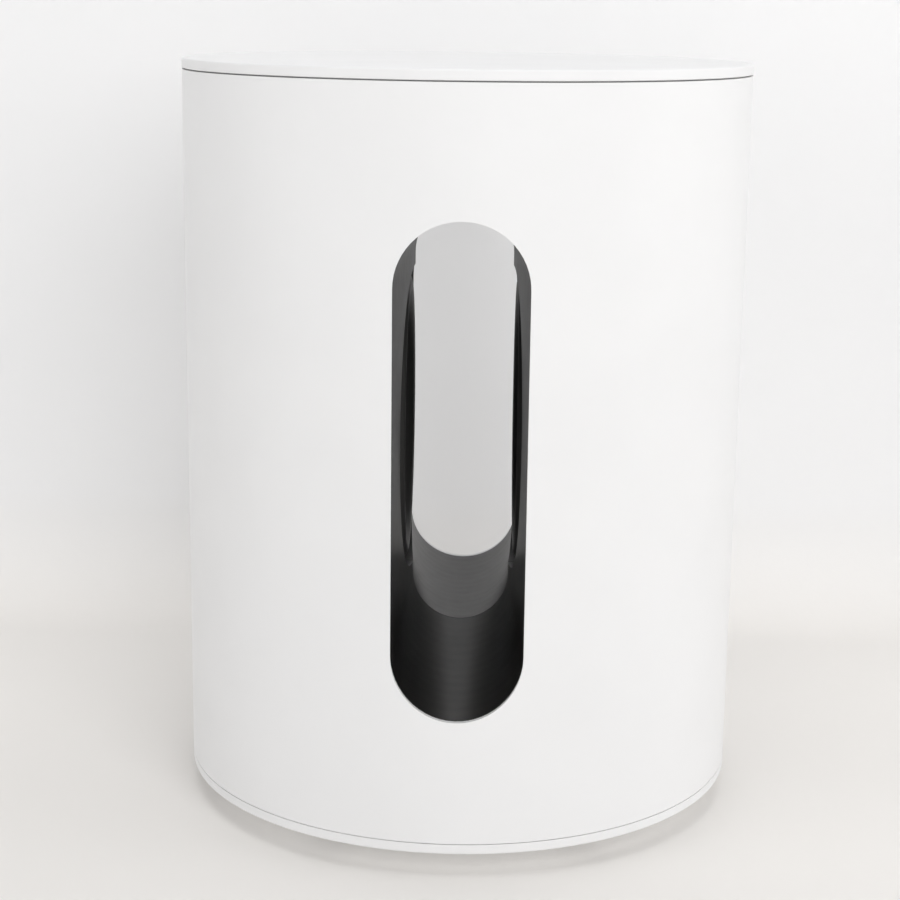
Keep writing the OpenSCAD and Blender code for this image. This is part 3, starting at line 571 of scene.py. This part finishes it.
def skin(rings, sides, base):
    """Faces of a tube of rings whose first vertex is number base, with both ends closed."""
    faces = []
    for i in range(rings - 1):
        q = base + i * sides
        for k in range(sides):
            m = (k + 1) % sides
            faces.append((q + k, q + m, q + sides + m, q + sides + k))
    faces.append(tuple(base + k for k in range(sides))[::-1])
    faces.append(tuple(base + (rings - 1) * sides + k for k in range(sides)))
    return faces


ROUND_SHARP = 60


def tube(name, points, radius, look, sides):
    """A round tube along the points."""
    verts = []
    u = None
    for p, d in zip(points, directions(points)):
        if u is None:
            u = d.orthogonal().normalized()
        u = (u - d * u.dot(d)).normalized()
        verts += ring(p, u, d.cross(u), radius, sides)
    return new_piece(name, verts, skin(len(points), sides, 0), look, ROUND_SHARP)


def smooth_path(points, per):
    """Points of a curve that passes through each given point, per of them for each stretch."""
    p = [Vector(q) for q in points]
    out = []
    for i in range(len(p) - 1):
        a, b, c, d = p[max(i - 1, 0)], p[i], p[i + 1], p[min(i + 2, len(p) - 1)]
        for k in range(per):
            f = k / per
            first = (c - a) * f
            second = (2 * a - 5 * b + 4 * c - d) * f * f
            third = (3 * b - a - 3 * c + d) * f ** 3
            out.append(0.5 * (2 * b + first + second + third))
    out.append(p[-1])
    return out


def twisted(name, path, wire, count, pitch, spread, look, sides):
    """Wires of radius wire, twisted round a path at the distance spread, as one mesh."""
    dirs = directions(path)
    u = dirs[0].orthogonal().normalized()
    across = []
    run = [0.0]
    for i, d in enumerate(dirs):
        u = (u - d * u.dot(d)).normalized()
        across.append((u.copy(), d.cross(u)))
        if i:
            run.append(run[-1] + (path[i] - path[i - 1]).length)
    verts = []
    faces = []
    for w in range(count):
        centres = []
        for p, (a, b), s in zip(path, across, run):
            t = 2 * math.pi * (s / pitch + w / count)
            centres.append(p + (a * math.cos(t) + b * math.sin(t)) * spread)
        faces += skin(len(path), sides, len(verts))
        for centre, d, (u, _) in zip(centres, directions(centres), across):
            a = (u - d * u.dot(d)).normalized()
            verts += ring(centre, a, d.cross(a), wire, sides)
    return new_piece(name, verts, faces, look, ROUND_SHARP)


def follow(obj):
    """Bakes the piece's place into its mesh."""
    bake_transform(obj)


def depths(node):
    """How near the middle plane a woofer's node begins, and how far from it the node ends."""
    lo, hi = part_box(node)
    return min(abs(lo.x), abs(hi.x)), max(abs(lo.x), abs(hi.x))


def outer_radius(node):
    lo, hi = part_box(node)
    return (hi.z - lo.z) / 2


def oval(cx, cy, rx, ry, a0, a1):
    """An elliptical arc from a0 to a1 degrees."""
    n = 20
    angles = [math.radians(a0 + (a1 - a0) * i / n) for i in range(n + 1)]
    return [(cx + rx * math.cos(a), cy + ry * math.sin(a)) for a in angles]


def make_surround(side):
    """Two half rolls that meet at the crest."""
    thick = 0.0012
    flange = 0.0032
    lap = 0.001
    corner = 0.0004
    inner_foot = 0.0003
    out_r = outer_radius(side + "_surround")
    cone_r = outer_radius(side + "_cone")
    crest, top = depths(side + "_surround")
    tall = top - crest
    wide = (out_r - flange - cone_r + lap) / 2
    mid_r = (out_r - flange + cone_r - lap) / 2
    lip_r = mid_r - wide - flange
    face = top - thick
    edge = top - thick * 0.8
    tip = math.degrees(math.asin(thick / tall))
    # each outline: a flange, the roll's outside and back along its inside
    outer = [(out_r, top), (out_r, edge), (out_r - corner, face), (mid_r + wide + corner, face)]
    outer += oval(mid_r, top, wide, tall, -tip, -90)
    outer += oval(mid_r, top, wide - thick, tall - thick, -90, 0)
    inner = oval(mid_r, top, wide, tall, -90, -180 + tip)
    inner += [(mid_r - wide - inner_foot, face), (lip_r + corner, face), (lip_r, edge), (lip_r, top)]
    inner += oval(mid_r, top, wide - thick, tall - thick, -180, -90)
    # none of the travel at the frame, half of it at the crest, all of it at the cone
    for name, outline, share in (("_surround_outer", outer, 0.0), ("_surround_inner", inner, 1.0)):
        p = revolved(side + name, side, outline, "surround_rubber", steps=216, sharp_from=40)
        follow(p)
        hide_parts(side + "_surround")


def make_spider(side):
    """A ring of cloth waves, each half wave a piece of its own."""
    thick = 0.00045
    room = 0.0001
    glue = 0.00012
    r0 = 0.022
    r1 = 0.043
    halves = 8
    near, far = depths(side + "_spider")
    low = near + room
    top = far - thick - room
    out_r = outer_radius(side + "_spider")
    in_r = (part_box(side + "_coil_former")[1].z - AXIS_Z) + glue
    step = (r1 - r0) / halves

    def wave(r):
        k = (r - r0) / step
        return low + (top - low) * (1 + math.cos(math.pi * k)) / 2

    def strip(name, radii):
        pts = [(r, wave(r) if r0 <= r <= r1 else top) for r in radii]
        back = [(r, s + thick) for r, s in reversed(pts)]
        return revolved(side + name, side, pts + back, "spider_cloth", steps=144, sharp_from=50)

    collar = strip("_spider_collar", [in_r, 0.0200, 0.0210, r0])
    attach(collar, side + "_diaphragm")
    rim = strip("_spider_rim", [r1, 0.0445, 0.046, out_r])
    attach(rim, "cabinet")
    made = [collar, rim]
    spans = 8
    for h in range(halves):
        p = strip(f"_spider_wave_{h + 1}", [r0 + step * (h + k / spans) for k in range(spans + 1)])
        follow(p)
        made.append(p)
    for p in made:
        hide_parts(side + "_spider")


# from a tab to the back of the cone: millimetres below the axis, sideways and outwards
LEAD_ROUTE = [(65.3, 5, 47.8), (60, 7, 50), (52, 8, 53), (44, 8, 50), (36.5, 7, 45.2), (34.5, 7, 43.4)]


def make_leads(side):
    """Two twisted leads from the tabs to the back of the cone."""
    sign = SIDES[side]
    for m, tag in ((1, "a"), (-1, "b")):
        pts = [(sign * s * MM, m * y * MM, AXIS_Z - r * MM) for r, y, s in LEAD_ROUTE]
        p = twisted(f"{side}_lead_{tag}", smooth_path(pts, 12), wire=0.00024, count=5, pitch=0.0042,
                    spread=0.00034, look="tinsel", sides=6)
        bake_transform(p)
        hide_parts(side + "_lead_wires")


for side in SIDES:
    make_surround(side)
    make_spider(side)
    make_leads(side)


# ------------------------------------------------------------------ inside: cables and wadding
# the routes' points, in millimetres
SPEAKER_ROUTES = {
    "right_cable_black": [
        (63, -12, 28.8), (66, -14, 38), (71, -14, 54), (67, -10, 70), (56, -6, 82), (48.4, -5, 88.6)],
    "right_cable_red": [
        (63, -9, 28.8), (66, -8, 38), (71, -4, 54), (67, 2, 70), (56, 5, 82), (48.4, 5, 88.6)],
    "left_cable_black": [
        (8, -46, 28.8), (2, -50, 40), (-20, -50, 50), (-46, -42, 53), (-64, -26, 60), (-62, -12, 74),
        (-48.4, -5, 88.6)],
    "left_cable_red": [
        (8, -42, 28.8), (3, -44, 38), (-20, -45, 50), (-44, -37, 53), (-61, -20, 60), (-60, -2, 74),
        (-48.4, 5, 88.6)],
}
ANTENNA_ROUTE = [(24, 38, 261.4), (40, 34, 264), (66, 22, 265), (92, 8, 264), (105.2, 2, 266)]
SPEAKER_CABLE_R = 0.0011
ANTENNA_CABLE_R = 0.0006


def make_cable(name, route, radius, look, sides, node):
    pts = smooth_path([[c * MM for c in q] for q in route], 10)
    p = tube(name, pts, radius, look, sides)
    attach(p, "cabinet")
    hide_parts(node)


for name, route in SPEAKER_ROUTES.items():
    look = "cable_red" if name.endswith("red") else "cable_black"
    make_cable(name, route, SPEAKER_CABLE_R, look, 14, "speaker_cables")
for side in ("right", "left"):
    route = [(SIDES[side] * x, y, z) for x, y, z in ANTENNA_ROUTE]
    make_cable(side + "_antenna_cable", route, ANTENNA_CABLE_R, "cable_black", 12, "antenna_cables")


def wadding_rows(R, H):
    """The outline as (radius, height), from the lower face round the full edge to the upper face."""
    edge = H * 0.95
    inner = R - edge
    edge_steps = 44
    flat_steps = 26
    rows = [(inner * k / flat_steps, -H) for k in range(1, flat_steps)]
    flat_radii = [r for r, _ in rows]
    for k in range(1, edge_steps):
        a = math.pi * k / edge_steps - math.pi / 2
        rows.append((inner + edge * math.cos(a), H * math.sin(a)))
    return rows + [(r, H) for r in reversed(flat_radii)]


# broad lumps and small tufts, in waves per metre, and how far they pull the face in
LUMPS_PER_M = 60
TUFTS_PER_M = 260
LUMP_DEPTH = 0.0022
# how much the pull leans outwards at the rim
LUMP_LEAN = 0.15


def lumpy(p, R, H):
    """The point pulled in by up to LUMP_DEPTH, in broad lumps with small tufts on them."""
    lump = noise.fractal(p * LUMPS_PER_M, 0.8, 2.0, 4) * 0.5 + noise.noise(p * TUFTS_PER_M) * 0.25
    full = max(0.0, min(1.0, 0.5 + lump))
    n = Vector((p.x * LUMP_LEAN / R, p.y * LUMP_LEAN / R, p.z / H)).normalized()
    return p - n * LUMP_DEPTH * (1 - full)


def make_wadding():
    """A soft disc of fibre with a rounded rim and a lumpy face."""
    lo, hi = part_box("wadding")
    c = mid("wadding")
    rim_room = 0.0006
    face_room = 0.0004
    R = (hi.x - lo.x) / 2 - rim_room
    H = (hi.z - lo.z) / 2 - face_room
    dimple = 0.001
    n = 180
    rows = wadding_rows(R, H)
    verts = []
    for r, z in rows:
        for i in range(n):
            a = 2 * math.pi * i / n
            verts.append(c + lumpy(Vector((r * math.cos(a), r * math.sin(a), z)), R, H))
    bottom = len(verts)
    top = bottom + 1
    verts.append(c + Vector((0, 0, -H + dimple)))
    verts.append(c + Vector((0, 0, H - dimple)))
    faces = []
    for k in range(len(rows) - 1):
        for i in range(n):
            j = (i + 1) % n
            faces.append((k * n + i, k * n + j, (k + 1) * n + j, (k + 1) * n + i))
    last = (len(rows) - 1) * n
    for i in range(n):
        j = (i + 1) % n
        faces.append((i, bottom, j))
        faces.append((last + i, last + j, top))
    p = new_piece("wadding_pad", verts, faces, "wadding_white", 80)
    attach(p, "cabinet")
    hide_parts("wadding")


make_wadding()


# ------------------------------------------------------------------ network socket: eight sprung contacts
CONTACTS = 8
CONTACT_PITCH = 0.00127
CONTACT_R = 0.0002
CONTACT_TOP = 0.026 + 0.0034
# how far each point lies behind the socket's face, and how far below its ceiling
CONTACT_BENDS = [(0.0135, 0), (0.006, 0), (0.0045, 0.0004), (0.008, 0.0022), (0.0125, 0.0032)]


def make_contacts():
    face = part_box("network_socket")[1].y
    for k in range(CONTACTS):
        x = mid("network_socket").x + (k - (CONTACTS - 1) / 2) * CONTACT_PITCH
        pts = [(x, face - depth, CONTACT_TOP - drop) for depth, drop in CONTACT_BENDS]
        p = tube(f"contact_{k + 1}", smooth_path(pts, 6), CONTACT_R, "contact_gold", sides=8)
        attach(p, "cabinet")


make_contacts()


# ------------------------------------------------------------------ stage and light
WALL_Y = 0.232
WALL_TOP = 1.6
BEND_R = 0.05
BEND_STEPS = 16
FLOOR_REACH = 1.4
# the floor behind the wall starts in front of it and lies a little lower
BACK_FLOOR_Y = 0.15
BACK_FLOOR_Z = -0.0003


def paper_material():
    """Warm paper on the floor and neutral paper on the wall, solid from its front side only."""
    k = Look("floor_paper", spec=0.15)
    paper = k.mix(k.noise(0.4, 4), (0.83, 0.81, 0.785), (0.85, 0.83, 0.805))
    wall = k.mix(k.noise(0.4, 4), (0.86, 0.86, 0.865), (0.88, 0.88, 0.885))
    split = k.new("ShaderNodeSeparateXYZ")
    rise = k.new("ShaderNodeMath", operation="MULTIPLY")
    rise.inputs[1].default_value = 8.0
    k.link(k.coords, split.inputs["Vector"])
    k.link(split.outputs["Z"], rise.inputs[0])
    k.colour(k.mix(k.ramp(rise.outputs[0], (0.02, 0.0), (0.5, 1.0)), paper, wall))
    k.roughness(k.noise(0.05), 0.6, 0.75)
    k.bump(k.noise(0.004, 5), 0.00005)
    # from behind, the paper doesn't hide the body's back and underside
    facing = k.new("ShaderNodeNewGeometry")
    clear = k.new("ShaderNodeBsdfTransparent")
    one_side = k.new("ShaderNodeMixShader")
    k.link(facing.outputs["Backfacing"], one_side.inputs[0])
    k.link(k.shader.outputs[0], one_side.inputs[1])
    k.link(clear.outputs[0], one_side.inputs[2])
    k.link(one_side.outputs[0], k.tree.nodes["Material Output"].inputs["Surface"])
    return k.mat


def make_stage():
    """A pale floor that turns up into a backdrop behind the body, and more floor behind the backdrop."""
    profile = [(-FLOOR_REACH, 0.0)]
    for i in range(BEND_STEPS + 1):
        a = math.pi / 2 * i / BEND_STEPS
        profile.append((WALL_Y - BEND_R + BEND_R * math.sin(a), BEND_R - BEND_R * math.cos(a)))
    profile.append((WALL_Y, WALL_TOP))
    backdrop = len(profile)
    profile += [(BACK_FLOOR_Y, BACK_FLOOR_Z), (FLOOR_REACH, BACK_FLOOR_Z)]
    verts = [(x, y, z) for y, z in profile for x in (-FLOOR_REACH, FLOOR_REACH)]
    strips = list(range(backdrop - 1)) + [backdrop]
    faces = [(2 * i, 2 * i + 1, 2 * i + 3, 2 * i + 2) for i in strips]
    mesh = bpy.data.meshes.new("floor")
    mesh.from_pydata(verts, [], faces)
    mesh.shade_smooth()
    mesh.materials.append(paper_material())
    obj = bpy.data.objects.new("floor", mesh)
    bpy.context.scene.collection.objects.link(obj)


# how high on the room, from 0 at the lowest point to 1 at the highest, and how bright
ROOM_GREYS = ((0.47, 0.78), (0.575, 0.60), (0.75, 0.04))


def make_world():
    """A room that is pale at the horizon and below it, and dim overhead."""
    world = bpy.data.worlds.new("world")
    bpy.context.scene.world = world
    world.use_nodes = True
    tree = world.node_tree
    coords = tree.nodes.new("ShaderNodeTexCoord")
    split = tree.nodes.new("ShaderNodeSeparateXYZ")
    height = tree.nodes.new("ShaderNodeMapRange")
    height.inputs["From Min"].default_value = -1.0
    ramp = tree.nodes.new("ShaderNodeValToRGB")
    stops = ramp.color_ramp.elements
    stops.new(0.5)
    for stop, (place, grey) in zip(stops, ROOM_GREYS):
        stop.position = place
        stop.color = (grey, grey, grey, 1)
    tree.links.new(coords.outputs["Generated"], split.inputs["Vector"])
    tree.links.new(split.outputs["Z"], height.inputs["Value"])
    tree.links.new(height.outputs["Result"], ramp.inputs["Fac"])
    tree.links.new(ramp.outputs["Color"], tree.nodes["Background"].inputs["Color"])


def lamp(name, shape, size, watts, place, aim):
    d = bpy.data.lights.new(name, "AREA")
    d.shape = shape
    d.size = size
    d.energy = watts
    o = bpy.data.objects.new(name, d)
    o.location = place
    o.rotation_euler = aim
    bpy.context.scene.collection.objects.link(o)
    return o


# name, width of the square, power, place, and the height on the body's axis that it faces
SOFT_BOXES = [
    ("key", 1.1, 14.4, (0.55, -1.72, 0.88), 0.15),
    ("side", 1.1, 8.2, (1.85, -0.32, 0.70), 0.15),
    ("fill", 1.1, 7.0, (-1.62, -0.92, 0.70), 0.15),
    ("top", 1.2, 12, (0, -0.4, 1.9), 0.2),
]
GLOW_R = BODY_R - 0.004
GLOW_Z = 0.0004
GLOW_WATTS = 0.048


def make_lights():
    for name, size, watts, place, height in SOFT_BOXES:
        aim = (Vector((0, 0, height)) - Vector(place)).to_track_quat("-Z", "Y").to_euler()
        lamp(name, "SQUARE", size, watts, place, aim)
    # a faint disc of light on the floor under the body, facing up
    glow = lamp("under", "DISK", 2 * GLOW_R, GLOW_WATTS, (0, 0, GLOW_Z), (math.pi, 0, 0))
    glow.visible_camera = False


make_stage()
make_world()
make_lights()
bpy.context.scene.view_settings.view_transform = "Standard"
